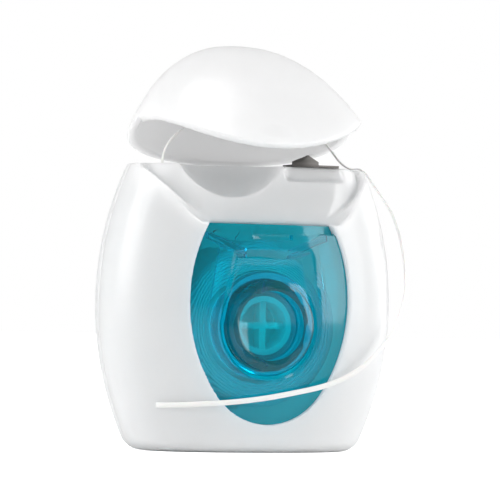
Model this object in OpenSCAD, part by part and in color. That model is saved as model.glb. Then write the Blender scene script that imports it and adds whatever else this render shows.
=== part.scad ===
// Pocket dental floss dispenser, standing on its base with the lid part open.
// X runs to the right, Y to the back and Z up; the origin is the centre of the base face.
// All sizes are in millimetres.

/* [Case] */
// Width of the case at its widest
case_w = 51; // [48:0.5:54]
// Depth of the case at its deepest
case_d = 27.4; // [26.4:0.2:29]
// Height of the case from the base to the deck under the lid
deck_h = 47.5; // [46:0.5:50]
// Width of the case at the deck
deck_w = 40.8; // [39.4:0.2:42.4]
// Depth of the case at the deck
deck_d = 23.8; // [23:0.2:25]
// Height of the widest and deepest section above the base
waist_h = 24.6; // [23:0.2:26]
// Radius of the edge round the base
foot_r = 2; // [1:0.25:2.5]
// Wall thickness of the two shells
wall = 1.4; // [1.2:0.1:1.6]
// Distance of the parting plane behind the middle of the case
parting = 0.8; // [0.4:0.1:1.2]

/* [Lid] */
// Height of the lid above its lower rim
dome_h = 15.9; // [14.6:0.1:17]
// Wall thickness of the lid
lid_wall = 1.4; // [1.2:0.1:1.6]
// Gap between the deck and the rim of the closed lid
seam = 0.5; // [0.45:0.05:0.7]
// Drop of the front lip of the lid below the deck
lip_drop = 11; // [10:0.1:11.2]
// Radius of the front lip, seen from the front
lip_r = 23.3; // [22.8:0.1:25]
// Width of the living hinge
hinge_w = 15.6; // [11:0.2:18]
// Angle that the lid stands open
open_angle = 30.5; // [0:0.5:45]

/* [Front recess] */
// Width of the recess at its lower edge
recess_low_w = 24.4; // [23:0.2:25]
// Width of the recess at the deck
recess_top_w = 38.4; // [37:0.2:39.4]
// Depth of the recess behind the case's middle front at its lower edge, over the window
recess_low_depth = 2.4; // [2.1:0.1:2.7]
// Depth of the recess behind the case's middle front at the deck
recess_top_depth = 5.1; // [4.8:0.1:5.4]
// Radius of the finger dish
dish_r = 10.6; // [10:0.1:11]
// Depth of the finger dish below the deck
dish_depth = 5.5; // [4.8:0.1:5.7]
// Place of the finger dish along X
dish_x = -6; // [-6.6:0.1:-5.4]
// Distance of the finger dish's middle in front of the deck's front edge
dish_ahead = 2.4; // [2:0.1:3]

/* [Window insert] */
// Width of the window at its widest
window_w = 28.2; // [27.2:0.2:29.2]
// Height of the window's widest line above the base
window_mid = 25; // [24:0.5:26]
// Height of the window's lowest point above the base
window_low = 4.7; // [4.4:0.1:6]
// Height of the window's flat top above the base
window_top = 37.8; // [36.8:0.1:38.4]
// Radius of the window's sides
window_side_r = 27; // [26:0.5:30]
// Depth of the insert's face behind the face of the case
pane_set = 0.6; // [0.4:0.1:0.9]
// Width of the flange behind the window's edge
flange_w = 1.4; // [1:0.1:1.8]
// Thickness of the flange
flange_t = 1; // [0.8:0.1:1.2]
// Radius of the round end of the hollow round the hub
trough_r = 9.6; // [9.2:0.1:10]
// Height of the top of the hollow round the hub
trough_top = 33.6; // [32:0.2:34]
// Width of the hollow round the hub at its top
trough_top_w = 14.6; // [12:0.2:17]
// Depth of the hollow round the hub, behind the middle of the insert's face
trough_depth = 1.6; // [1.3:0.1:1.8]
// Thickness of the floor of that hollow
trough_t = 1.2; // [1:0.1:1.4]

/* [Spool] */
// Height of the spool's axis above the base
hub_h = 21; // [20.4:0.1:21.6]
// Outer radius of the hub tube on the insert
hub_r = 7.5; // [7.2:0.05:7.8]
// Radius of the hub tube's bore
hub_bore_r = 5.75; // [5.45:0.05:5.95]
// Running clearance between the hub tube and the spool core
hub_clear = 0.08; // [0.05:0.01:0.1]
// Wall thickness of the spool core
core_wall = 1.15; // [0.9:0.05:1.3]
// Width of the spool core
core_w = 17; // [16:0.2:17.6]
// Outer radius of the wound floss
wound_r = 13.5; // [12.5:0.1:13.8]
// Width of the wound floss
wound_w = 15.6; // [14.6:0.2:16]
// Diameter of the strand drawn in the winding
turn_d = 0.5; // [0.4:0.05:0.55]
// Distance between neighbouring turns of the outer layer
turn_pitch = 1.12; // [1:0.02:1.3]

/* [Cutter] */
// Width of the cutter plate
cutter_w = 8.4; // [7:0.1:9]
// Depth of the cutter plate
cutter_d = 4.4; // [4:0.1:5]
// Thickness of the cutter's sheet metal
cutter_t = 0.4; // [0.3:0.05:0.5]
// Height of the bent-up tooth above the plate
tooth_h = 2; // [1.5:0.1:2.4]
// Width of the tooth at its foot
tooth_w = 4.7; // [4:0.1:5.5]
// Place of the cutter's left end along X
cutter_x = 5.2; // [4.6:0.1:5.6]

/* [Floss] */
// Width of the flat strand
strand_w = 0.9; // [0.7:0.05:1]
// Thickness of the flat strand
strand_t = 0.3; // [0.25:0.01:0.32]
// Radius of the outlet hole in the deck
outlet_r = 0.8; // [0.7:0.05:1.2]

/* [Hidden] */

white = "white";
teal = [0.05, 0.66, 0.74, 0.6];
floss_white = [0.94, 0.94, 0.92];

// Plan sections are superellipses, and this is their exponent
plan_power = 2.4;
plan_sides = 48;
// Gap between the insert and the shell that holds it
fit = 0.12;
// Gap between the lid and what it swings past
lid_clear = 0.4;
// How far a cut runs past the face that it opens
past = 1;

waist_w_r = arc_radius((case_w - deck_w) / 2, deck_h - waist_h);
waist_d_r = arc_radius((case_d - deck_d) / 2, deck_h - waist_h);
hinge_y = deck_d / 2 - seam / 2;
hinge_z = deck_h + seam / 2;
lip_centre_z = deck_h - lip_drop + lip_r;
recess_low = window_top;
recess_h = deck_h - recess_low;
// How early the recess's sides flare out above its lower edge
recess_flare = 1.6;
recess_low_y = recess_low_depth - half_d(recess_low);
deck_front_y = recess_top_depth - half_d(recess_low);
dish_y = deck_front_y - dish_ahead;
// How far back the window is cut
window_back_y = -3;
apron_back_y = -3;
// Depth of the seat that the lid's apron closes over
seat_inset = lid_wall + lid_clear;
// Above this height the insert's face is set back too, under the lid's lip
band_low = deck_h - lip_drop - lid_clear;
hub_set = 0.3;
hub_front_y = -half_d(hub_h) + pane_set + hub_set;
post_clear = 0.85;
post_r = hub_bore_r - post_clear;
// Distance of the post's tip behind the hub tube's front
post_set = 3.5;
post_tip_y = hub_front_y + post_set;
post_wall = 0.9;
post_hollow = 4;
// The cross inside the post's tip: its thickness, and how far it stands behind the tip
cross_t = 1.1;
cross_set = 0.6;
core_bore_r = hub_r + hub_clear;
core_r = core_bore_r + core_wall;
core_mid_y = 0.4;
core_front_y = core_mid_y - core_w / 2;
core_rear_y = core_mid_y + core_w / 2;
wound_front_y = core_mid_y - wound_w / 2;
wound_rear_y = core_mid_y + wound_w / 2;
shoulder_gap = 0.2;
hub_rear_y = core_rear_y - 1;
post_root_y = half_d(hub_h - core_r) - wall / 2;
trough_y = -half_d(hub_h) + pane_set + trough_depth;
// The cutter stands back from the deck's edge, clear of the closed lid
cutter_front_y = deck_front_y + 0.15;
tooth_foot = 0.9;
tooth_tip_w = 0.6;
// How far the tooth's tip stands to the right of its middle
tooth_lean = 0.3;
notch_drop = 2.4;
notch_set = 0.3;
notch_spare = 1.5;
latch_w = 7;
latch_h = 0.8;
latch_gap = 0.1;
latch_z = band_low - latch_gap - latch_h;
// The two ribs behind the insert's pane: their ends across and in height
rib_near_x = 4;
rib_far_x = 10.4;
rib_near_z = trough_top - 1;
rib_far_z = band_low;
pane_rib_t = 1;
pane_rib_set = 0.3;
pane_rib_front_y = -half_d(window_top) + seat_inset + pane_rib_set;
pane_rib_depth = 2.4;
dent_r = 9;
dent_depth = 0.5;
dent_rise = 3.4;
outlet_x = -15.4;
outlet_y = -1;
// Pins that join the two shells, in bosses that grow from the corners of the case
pin_heights = [8, 36];
pin_in = 5.6;
pin_root = 5.4;
pin_root_y = pin_root - half_d(pin_heights[0]);
pin_r = 1;
pin_boss_r = 1.9;
pin_len = 3;
pin_clear = 0.05;
wound_corner = 1.5;
wound_mid_r = wound_r - turn_d / 2;
layer_front_y = wound_front_y + turn_d / 2;
// Gap between the outer layer's strand and what lies under it
turn_clear = 0.2;
turns_from_r = core_r + turn_d / 2 + turn_clear;
pack_r = wound_r - turn_d - turn_clear;
pack_corner = wound_corner - turn_d / 2 - turn_clear;
pack_front_y = wound_front_y + turn_d + turn_clear;
pack_rear_y = wound_rear_y;
pack_w = pack_rear_y - pack_front_y;

// Route of the free strand from the outlet to its cut end: place, and how far its flat is turned
TAIL = [
    [-15.4, -1, 47.5, 0], [-15.3, -1, 48.8, 0], [-14.7, -1, 50.5, 0], [-13.4, -1, 52.2, 0],
    [-11.4, -1, 53.7, 0], [-8.5, -1, 54.9, 0], [-4.6, -1, 55.7, 0], [-0.2, -1, 56, 0],
    [4.5, -1, 55.8, 0], [9, -1, 54.8, 0], [12.5, -1, 53.1, 0], [14.8, -1, 51, 0],
    [16.6, -1.1, 48.9, 0], [18.4, -1.2, 47.8, 0], [20.2, -1.4, 47.75, 0], [21.6, -1.7, 46.6, 0],
    [22.6, -2.1, 45, 0], [23.8, -2.8, 43.1, 0], [25.2, -4, 40.3, 0], [26, -5.4, 36.7, 0],
    [26.2, -6.8, 33.1, 10], [26, -8.1, 29.6, 20], [25.3, -9.4, 26.4, 30], [24, -10.6, 23.3, 40],
    [22.3, -11.5, 20.1, 50], [19.6, -12.2, 17.2, 60], [16.8, -12.7, 14.7, 70], [13.4, -13.1, 12.7, 80],
    [9.3, -13.3, 11.2, 90], [4.3, -13.4, 10.1, 90], [-1.4, -13.5, 9.1, 90], [-7.2, -13.1, 8.4, 90],
    [-12.5, -12, 8, 90], [-16.2, -10.5, 7.8, 90], [-18.6, -9, 7.7, 90]
];
TAIL_STEPS = 2;

// Route of the strand inside the case, from the winding to the outlet
FEED = [
    [-14.4, -1, 21, 0], [-14.4, -1, 25, 0], [-14.6, -1, 31, 0], [-14.9, -1, 37, 0], [-15.3, -1, 43, 0],
    [-15.4, -1, 47.5, 0]
];
FEED_STEPS = 3;

// Radius of the arc that drops by this much over this run
function arc_radius(drop, run) = (run * run + drop * drop) / (2 * drop);

// How far an arc of this radius has dropped after this run
function arc_drop(r, run) = r - sqrt(r * r - run * run);

// Share of the dome's ellipse that lies under the deck, so that lid and case meet without a kink
function dome_u(half, slope) = let (k = slope * dome_h / half) k / (1 - k);

// Half size of the dome at a height above the deck
function dome_half(h, half, slope) =
    let (u = dome_u(half, slope), b = dome_h / (1 - u), a = half / sqrt(1 - u * u), v = min(u + h / b, 1))
    a * sqrt(1 - v * v);

// Slope of the waist arc at the deck
function deck_slope(r) = (deck_h - waist_h) / sqrt(r * r - pow(deck_h - waist_h, 2));

// How far the rounded foot draws the section in
function foot_in(z) = z < foot_r ? foot_r - sqrt(foot_r * foot_r - pow(foot_r - z, 2)) : 0;

// Half width and half depth of the closed form at a height
function half_w(z) = z <= deck_h
    ? case_w / 2 - arc_drop(waist_w_r, z - waist_h) - foot_in(z)
    : dome_half(z - deck_h, deck_w / 2, deck_slope(waist_w_r));
function half_d(z) = z <= deck_h
    ? case_d / 2 - arc_drop(waist_d_r, z - waist_h) - foot_in(z)
    : dome_half(z - deck_h, deck_d / 2, deck_slope(waist_d_r));

// The same, drawn in by an inset, with the dome's top lowered by that inset too
function inset_h(z, inset) = z <= deck_h ? z : deck_h + (z - deck_h) * dome_h / (dome_h - inset);
function inset_half_w(z, inset) = z <= deck_h
    ? half_w(z) - inset
    : half_w(inset_h(z, inset)) * (1 - 2 * inset / deck_w);
function inset_half_d(z, inset) = z <= deck_h
    ? half_d(z) - inset
    : half_d(inset_h(z, inset)) * (1 - 2 * inset / deck_d);

// A point of a superellipse at an angle
function plan_point(a, b, t) = [
    a * sign(cos(t)) * pow(abs(cos(t)), 2 / plan_power),
    b * sign(sin(t)) * pow(abs(sin(t)), 2 / plan_power)
];

// Evenly spaced values from one end to the other
function steps(from, to, n) = [for (i = [0 : n]) from + (to - from) * i / n];

// Loft of the closed form through the given heights
module form(heights, inset) {
    n = plan_sides;
    last = len(heights) - 1;
    points = [for (z = heights, i = [0 : n - 1])
        let (p = plan_point(inset_half_w(z, inset), inset_half_d(z, inset), 360 * i / n)) [p[0], p[1], z]];
    sides = [for (k = [0 : last - 1], i = [0 : n - 1], half = [0, 1])
        let (a = k * n + i, b = k * n + (i + 1) % n) half == 0 ? [a, a + n, b] : [b, a + n, b + n]];
    floor_face = [[for (i = [0 : n - 1]) i]];
    top_face = [[for (i = [n - 1 : -1 : 0]) last * n + i]];
    polyhedron(points = points, faces = concat(floor_face, sides, top_face));
}

// Everything in front of, or behind, a plane across the depth
module front_of(y) {
    translate([-case_w, y - 2 * case_d, -past]) cube([2 * case_w, 2 * case_d, deck_h + dome_h + 2 * past]);
}
module behind(y) {
    translate([-case_w, y, -past]) cube([2 * case_w, 2 * case_d, deck_h + dome_h + 2 * past]);
}

// A rod along the depth, from one Y to another
module rod(r, from_y, to_y, x, z) {
    translate([x, from_y, z]) rotate([-90, 0, 0]) cylinder(r = r, h = to_y - from_y, $fn = 48);
}

// A flat outline, drawn as seen from the front, made solid from one Y to another
module plate(from_y, to_y) {
    translate([0, to_y, 0]) rotate([90, 0, 0]) linear_extrude(height = to_y - from_y) children();
}

// Points along an arc, angles in degrees from +X
function arc_points(x, z, r, from, to, n) = [for (a = steps(from, to, n)) [x + r * cos(a), z + r * sin(a)]];

// How far the centre of the window's foot lies below the widest line, so that it meets the side arcs
function foot_below() =
    let (side_x = window_w / 2 - window_side_r, spare = window_side_r - (window_mid - window_low))
    (side_x * side_x - spare * spare) / (2 * spare);

// Outline of the window, grown by an offset: two side arcs, a round foot and a flat top
function window_outline(grow) =
    let (side_x = window_w / 2 - window_side_r,
         side_r = window_side_r + grow,
         foot_z = window_mid - foot_below(),
         foot_side = atan2(foot_below(), -side_x),
         top_side = asin((window_top + grow - window_mid) / side_r))
    concat(
        arc_points(side_x, window_mid, side_r, -foot_side, top_side, 11),
        arc_points(-side_x, window_mid, side_r, 180 - top_side, 180 + foot_side, 11),
        arc_points(0, foot_z, foot_z - window_low + grow, 183 + foot_side, 357 - foot_side, 9)
    );

// Inside of the case, one wall thickness in
module inner_form() {
    form(concat([wall], steps(wall + 3, deck_h - wall, 8)), wall);
}

// The cavity behind the front, with all that is cut into the front walled off
module case_cavity() {
    difference() {
        inner_form();
        recess(wall);
        finger_dish(wall);
        apron_room(wall);
        cutter_notch(wall);
    }
}

// The recess behind the lid's front lip: in front of a leaning plane, inside an outline
module recess(grow) {
    lean = (deck_front_y - recess_low_y) / recess_h;
    rise = recess_h + past + grow;
    intersection() {
        translate([-case_w / 2, 0, 0]) rotate([90, 0, 90])
            linear_extrude(height = case_w)
                polygon([[-case_d, recess_low - grow],
                         [recess_low_y - lean * grow + grow, recess_low - grow],
                         [recess_low_y + lean * (rise - grow) + grow, recess_low - grow + rise],
                         [-case_d, recess_low - grow + rise]]);
        plate(-case_d, 0) recess_outline(grow);
    }
}

// Half width of the recess at a share of its height
function recess_half(share) =
    recess_low_w / 2 + (recess_top_w - recess_low_w) / 2 * (1 - pow(1 - share, recess_flare));

module recess_outline(grow) {
    side = concat(
        [[recess_half(0) + grow, recess_low - grow]],
        [for (t = steps(0, 1, 8)) if (t > 0) [recess_half(t) + grow, recess_low + t * recess_h]],
        [[recess_half(1) + grow, deck_h + past]]
    );
    polygon(concat(side, [for (i = [len(side) - 1 : -1 : 0]) [-side[i][0], side[i][1]]]));
}

module finger_dish(grow) {
    translate([dish_x, dish_y, deck_h - dish_depth + dish_r]) sphere(r = dish_r + grow, $fn = 48);
}

module case_body() {
    form(concat([0, 0.3, 0.8], steps(foot_r, deck_h, 15)), 0);
}

// All that lies within an inset of the closed form's surface, between two heights
module skin(low, high, inset, n) {
    difference() {
        form(steps(low, high, n), -past);
        form(steps(low - past, high + past, n), inset);
    }
}

// Room for the closed lid's apron, with the lid's clearance round it
module apron_room(grow) {
    intersection() {
        skin(deck_h - lip_drop - past - grow, deck_h + 2 * past, seat_inset + grow, 4);
        rod(lip_r + lid_clear + grow, -case_d, apron_back_y + lid_clear + grow, 0, lip_centre_z);
    }
}

// Rods on the axes of the pins, near the four corners of the case
module pin_rods(r, from_y, to_y) {
    for (side = [-1, 1], z = pin_heights) rod(r, from_y, to_y, side * (half_w(z) - pin_in), z);
}

module front_shell() {
    color(white) {
        difference() {
            intersection() {
                case_body();
                front_of(parting);
            }
            case_cavity();
            recess(0);
            finger_dish(0);
            apron_room(0);
            plate(-case_d, window_back_y) polygon(window_outline(0));
            cutter_notch(0);
            translate([outlet_x, outlet_y, deck_h - wall - past])
                cylinder(r = outlet_r, h = wall + 2 * past, $fn = 48);
        }
        pin_rods(pin_boss_r, pin_root_y, parting);
        pin_rods(pin_r, parting - past, parting + pin_len);
    }
}

// Notch in the front edge of the deck, under the cutter
module cutter_notch(grow) {
    spare = notch_spare + grow;
    translate([cutter_x - spare, -case_d, deck_h - notch_drop - grow])
        cube([cutter_w + 2 * spare, case_d + deck_front_y + notch_set + grow, notch_drop + past + grow]);
}

module rear_shell() {
    color(white) {
        difference() {
            intersection() {
                case_body();
                behind(parting);
            }
            inner_form();
        }
        difference() {
            pin_rods(pin_boss_r, parting, -pin_root_y);
            pin_rods(pin_r + pin_clear, parting - past, parting + pin_len + pin_clear);
        }
        hub_post();
    }
}

// The rear shell's post: it fills the bore of the hub tube and shows a cross at its tip
module hub_post() {
    difference() {
        rod(post_r, post_tip_y, post_root_y, 0, hub_h);
        rod(post_r - post_wall, post_tip_y - past, post_tip_y + post_hollow, 0, hub_h);
    }
    translate([0, post_tip_y + post_hollow / 2 + cross_set, hub_h]) {
        cube([2 * post_r - post_wall, post_hollow, cross_t], center = true);
        cube([cross_t, post_hollow, 2 * post_r - post_wall], center = true);
    }
    rod(core_r, core_rear_y + shoulder_gap, post_root_y, 0, hub_h);
}

// Outline of the hollow round the hub, grown by an offset
module trough_outline(grow) {
    translate([0, hub_h]) circle(r = trough_r + grow, $fn = 48);
    polygon([[-trough_r - grow, hub_h], [trough_r + grow, hub_h],
             [trough_top_w / 2 + grow, trough_top + grow], [-trough_top_w / 2 - grow, trough_top + grow]]);
}

module window_insert() {
    color(teal) {
        difference() {
            union() {
                difference() {
                    intersection() {
                        form(steps(window_low - 2 * past, window_top + 2 * past, 7), pane_set);
                        plate(-case_d, window_back_y) polygon(window_outline(-fit));
                    }
                    form(steps(window_low - 3 * past, window_top + 3 * past, 7), wall + fit + flange_t);
                    skin(band_low, window_top + past, seat_inset, 2);
                }
                difference() {
                    intersection() {
                        form(steps(window_low - 2 * past, window_top + 2 * past, 7), wall + fit);
                        plate(-case_d, window_back_y) polygon(window_outline(flange_w));
                    }
                    form(steps(window_low - 3 * past, window_top + 3 * past, 7), wall + fit + flange_t);
                    recess(wall + fit);
                    apron_room(wall + fit);
                }
                plate(trough_y, trough_y + trough_t) trough_outline(trough_t);
                rod(hub_r, hub_front_y, hub_rear_y, 0, hub_h);
                rod(core_r, trough_y, core_front_y - shoulder_gap, 0, hub_h);
                pane_ribs();
            }
            plate(-case_d, trough_y) difference() {
                trough_outline(0);
                translate([0, hub_h]) circle(r = hub_r, $fn = 48);
            }
            rod(hub_bore_r, -case_d, case_d, 0, hub_h);
            translate([-latch_w / 2, -case_d, latch_z]) cube([latch_w, case_d, latch_h]);
        }
    }
}

// Two slanting ribs behind the pane, from beside the band down to the top of the hollow
module pane_ribs() {
    for (side = [-1, 1])
        plate(pane_rib_front_y, pane_rib_front_y + pane_rib_depth)
            polygon([[side * rib_near_x, rib_near_z], [side * rib_far_x, rib_far_z - pane_rib_t],
                     [side * rib_far_x, rib_far_z], [side * rib_near_x, rib_near_z + pane_rib_t]]);
}

// The lid as it lies when closed
module closed_lid() {
    difference() {
        intersection() {
            form(concat(steps(deck_h - lip_drop - 2 * past, deck_h, 5), dome_heights(0)), 0);
            union() {
                translate([-case_w, -case_d, deck_h + seam]) cube([2 * case_w, 2 * case_d, 2 * dome_h]);
                rod(lip_r, -case_d, apron_back_y, 0, lip_centre_z);
            }
        }
        form(concat(steps(deck_h - lip_drop - 3 * past, deck_h, 5), dome_heights(lid_wall)), lid_wall);
        thumb_dent();
    }
}

// Heights of the dome's sections, closer together towards its top
function dome_heights(inset) = [for (a = [9 : 9 : 81]) deck_h + (dome_h - inset) * sin(a)];

// Shallow dent over the middle of the lip, for the thumb
module thumb_dent() {
    translate([0, -half_d(deck_h - lip_drop) - dent_r + dent_depth, deck_h - lip_drop + dent_rise])
        sphere(r = dent_r, $fn = 48);
}

module lid() {
    color(white)
        translate([0, hinge_y, hinge_z])
            rotate([-open_angle, 0, 0])
                translate([0, -hinge_y, -hinge_z])
                    closed_lid();
}

// The bead of the living hinge: it touches the deck and the lid's rim at every angle
module living_hinge() {
    color(white) {
        translate([-hinge_w / 2, hinge_y, hinge_z])
            rotate([0, 90, 0]) cylinder(r = seam / 2, h = hinge_w, $fn = 48);
        translate([-hinge_w / 2, hinge_y - seam / 2, deck_h]) cube([hinge_w, seam / 2, seam / 2]);
    }
}

module spool_core() {
    color("lightblue")
        difference() {
            rod(core_r, core_front_y, core_rear_y, 0, hub_h);
            rod(core_bore_r, core_front_y - past, core_rear_y + past, 0, hub_h);
        }
}

// The wound floss under its outer layer, with a round front edge
module floss_pack() {
    color(floss_white)
        translate([0, 0, hub_h]) rotate([90, 0, 0])
            rotate_extrude($fn = 72) {
                translate([core_r, -pack_rear_y]) square([pack_r - core_r - pack_corner, pack_w]);
                translate([core_r, -pack_rear_y]) square([pack_r - core_r, pack_w - pack_corner]);
                translate([pack_r - pack_corner, -pack_front_y - pack_corner])
                    circle(r = pack_corner, $fn = 48);
            }
}

// Radius and depth of the outer layer's strand, a distance along the section from the core outwards
function layer_point(s) =
    let (flat = wound_mid_r - wound_corner - turns_from_r, bend = wound_corner * PI / 2)
    s < flat ? [turns_from_r + s, layer_front_y]
    : s < flat + bend
        ? let (a = (s - flat) / wound_corner * 180 / PI)
          [wound_mid_r - wound_corner + wound_corner * sin(a), layer_front_y + wound_corner * (1 - cos(a))]
    : [wound_mid_r, layer_front_y + wound_corner + s - flat - bend];
layer_length = wound_mid_r - wound_corner - turns_from_r + wound_corner * PI / 2
    + wound_rear_y - turn_d / 2 - layer_front_y - wound_corner;
turns = floor(layer_length / turn_pitch);
TURN_RINGS = 20;
turn_points = [for (i = [0 : turns * TURN_RINGS])
    let (p = layer_point(i / TURN_RINGS * turn_pitch), a = 360 * i / TURN_RINGS)
    [p[0] * cos(a), p[1], hub_h + p[0] * sin(a)]];

// Least gap between a turn and the next, measured on the route's points
function next_gap(i) = min([for (k = [TURN_RINGS - 3 : TURN_RINGS + 3]) i + k < len(turn_points)
    ? norm(turn_points[i + k] - turn_points[i]) : case_w]);
least_gap = min([for (i = [0 : len(turn_points) - TURN_RINGS]) next_gap(i)]) - turn_d;
echo(turns = turns, least_gap = least_gap);

function unit(v) = v / norm(v);

// Direction of a route at one of its points
function along(path, i) = unit(path[min(i + 1, len(path) - 1)] - path[max(i - 1, 0)]);

// Tube along a route: at each point a ring of the given sides, w wide and t thick
module swept(path, flats, w, t, sides) {
    last = len(path) - 1;
    points = [for (i = [0 : last])
        let (d = along(path, i),
             level = unit(cross(d, cross([0, 1, 0], d))),
             up = cross(d, level),
             wide = level * cos(flats[i]) + up * sin(flats[i]),
             thick = cross(d, wide))
        for (k = [0 : sides - 1])
            let (a = 360 * (k + 0.5) / sides)
            path[i] + wide * cos(a) * w / 2 + thick * sin(a) * t / 2];
    faces = [for (i = [0 : last - 1], k = [0 : sides - 1], half = [0, 1])
        let (a = i * sides + k, b = i * sides + (k + 1) % sides)
        half == 0 ? [a, b, a + sides] : [b, b + sides, a + sides]];
    start_face = [[for (k = [sides - 1 : -1 : 0]) k]];
    end_face = [[for (k = [0 : sides - 1]) last * sides + k]];
    polyhedron(points = points, faces = concat(start_face, faces, end_face));
}

// Smooth curve through a route's points, with a number of steps between neighbours
function smooth_at(a, b, c, d, t) =
    ((2 * b) + (c - a) * t + (2 * a - 5 * b + 4 * c - d) * t * t + (3 * b - a - 3 * c + d) * t * t * t) / 2;
function smooth_route(route, n) = concat(
    [for (i = [0 : len(route) - 2], k = [0 : n - 1])
        smooth_at(route[max(i - 1, 0)], route[i], route[i + 1], route[min(i + 2, len(route) - 1)], k / n)],
    [route[len(route) - 1]]);

module strand(route, n) {
    smooth = smooth_route(route, n);
    swept([for (p = smooth) [p[0], p[1], p[2]]], [for (p = smooth) p[3]], strand_w, strand_t, 8);
}

module floss_turns() {
    color(floss_white) swept(turn_points, [for (p = turn_points) 0], turn_d, turn_d, 6);
}

module floss_feed() {
    color(floss_white) strand(FEED, FEED_STEPS);
}

module floss_tail() {
    color(floss_white) strand(TAIL, TAIL_STEPS);
}

module cutter() {
    tip_x = cutter_x + tooth_w / 2 + tooth_lean;
    color("dimgray") {
        translate([cutter_x, cutter_front_y, deck_h]) cube([cutter_w, cutter_d, cutter_t]);
        plate(cutter_front_y, cutter_front_y + cutter_t)
            polygon([[cutter_x, deck_h], [cutter_x, deck_h + tooth_foot],
                     [tip_x - tooth_tip_w / 2, deck_h + tooth_h], [tip_x + tooth_tip_w / 2, deck_h + tooth_h],
                     [cutter_x + tooth_w, deck_h + tooth_foot], [cutter_x + tooth_w, deck_h]]);
    }
}

front_shell();
rear_shell();
window_insert();
lid();
living_hinge();
spool_core();
floss_pack();
floss_turns();
floss_feed();
floss_tail();
cutter();
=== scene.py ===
"""Looks of a pocket dental floss dispenser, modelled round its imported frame.

All sizes are in metres, in the frame of the part: X to the right, Y to the back, Z up,
with the origin at the centre of the base face. The lid stands open at rest.
"""

from __future__ import annotations

import logging
import math
from dataclasses import dataclass, field
from enum import Enum
from typing import Callable, Iterable, Sequence

import bmesh
import bpy
from mathutils import Matrix, Vector


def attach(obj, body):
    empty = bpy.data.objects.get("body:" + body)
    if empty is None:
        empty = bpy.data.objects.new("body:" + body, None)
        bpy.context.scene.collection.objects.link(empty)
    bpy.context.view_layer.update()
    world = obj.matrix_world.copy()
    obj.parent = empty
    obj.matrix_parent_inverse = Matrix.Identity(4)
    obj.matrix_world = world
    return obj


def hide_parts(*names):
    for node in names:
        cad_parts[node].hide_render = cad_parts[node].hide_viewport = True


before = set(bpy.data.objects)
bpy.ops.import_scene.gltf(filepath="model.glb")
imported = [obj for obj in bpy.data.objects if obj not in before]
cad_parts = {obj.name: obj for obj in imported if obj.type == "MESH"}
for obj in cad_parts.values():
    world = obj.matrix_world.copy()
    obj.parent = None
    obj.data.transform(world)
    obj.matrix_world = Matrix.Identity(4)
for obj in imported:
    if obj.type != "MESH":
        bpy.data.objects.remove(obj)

LOG = logging.getLogger("floss_dispenser")
MM = 0.001
Point = tuple[float, float]

# Points closer than this are merged
MERGE = 1e-6
# Corners of a round rod and rings of a ball
ROUND = 96
BALL_RINGS = 64
# Length of strand over one unit of its texture
TEXTURE_LENGTH = 10 * MM
# Where a noise's dark and light colours stand on its ramp
RAMP = (0.3, 0.7)
# Far enough to cut right through the object
FAR = 30 * MM
# Back of the tool that cuts the window
WINDOW_BACK = -3 * MM
# Width of the rounded edges of small details
EDGE = 0.15 * MM
# Height of the axis of hub, post and spool
HUB = 21 * MM
# Outer radius of the spool core and of the shoulders at its ends
CORE_RADIUS = 8.73 * MM


class Side(Enum):
    """Which half of the case a shell is."""

    FRONT = -1
    REAR = 1


class Cut(Enum):
    """What a second solid does to the first."""

    SUBTRACT = "DIFFERENCE"
    JOIN = "UNION"
    KEEP_COMMON = "INTERSECT"


# Small tools of the workshop


def deselect() -> None:
    """Leave edit mode and select nothing."""
    if bpy.context.object and bpy.context.object.mode != "OBJECT":
        bpy.ops.object.mode_set(mode="OBJECT")
    bpy.ops.object.select_all(action="DESELECT")


def take(obj: bpy.types.Object) -> None:
    """Select one object alone and make it the active one."""
    deselect()
    obj.select_set(True)
    bpy.context.view_layer.objects.active = obj


def settle(obj: bpy.types.Object) -> None:
    """Put an object's place, turn and scale into its mesh."""
    take(obj)
    bpy.ops.object.transform_apply(location=True, rotation=True, scale=True)


def name_new(name: str) -> bpy.types.Object:
    """Name the object that an operator has just added.

    Args:
        name: The new name.

    Returns:
        The named object.
    """
    obj = bpy.context.object
    obj.name = name
    obj.data.name = name
    return obj


def outward(obj: bpy.types.Object) -> None:
    """Merge doubled points and turn all faces outwards."""
    take(obj)
    bpy.ops.object.mode_set(mode="EDIT")
    bpy.ops.mesh.select_all(action="SELECT")
    bpy.ops.mesh.remove_doubles(threshold=MERGE)
    bpy.ops.mesh.normals_make_consistent(inside=False)
    bpy.ops.object.mode_set(mode="OBJECT")


def modify(obj: bpy.types.Object, kind: str, **settings: object) -> None:
    """Add one modifier, set it and apply it.

    Args:
        obj: The object to change.
        kind: Blender's name for the modifier's type.
        settings: Values for the modifier's own settings.
    """
    take(obj)
    mod = obj.modifiers.new(kind.title(), kind)
    for key, value in settings.items():
        setattr(mod, key, value)
    bpy.ops.object.modifier_apply(modifier=mod.name)


def combine(first: bpy.types.Object, second: bpy.types.Object, cut: Cut) -> bpy.types.Object:
    """Join, cut or intersect the first solid with the second, which is used up.

    Args:
        first: The solid that stays.
        second: The solid that is used up.
        cut: What the second does to the first.

    Returns:
        The first solid.
    """
    modify(first, "BOOLEAN", object=second, operation=cut.value, solver="EXACT")
    bpy.data.objects.remove(second, do_unlink=True)
    return first


def mould(obj: bpy.types.Object, voxel: float, passes: int) -> None:
    """Give a solid the soft edges of a moulding: remesh it evenly and smooth it.

    Args:
        obj: The solid.
        voxel: Size of the even mesh.
        passes: How many times the mesh is smoothed.
    """
    modify(obj, "REMESH", mode="VOXEL", voxel_size=voxel, use_smooth_shade=True)
    modify(obj, "SMOOTH", factor=0.5, iterations=passes)
    smooth(obj, 180)


def smooth(obj: bpy.types.Object, degrees: float = 35) -> None:
    """Shade a piece smooth, with sharp edges past an angle."""
    take(obj)
    bpy.ops.object.shade_smooth_by_angle(angle=math.radians(degrees))


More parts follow.
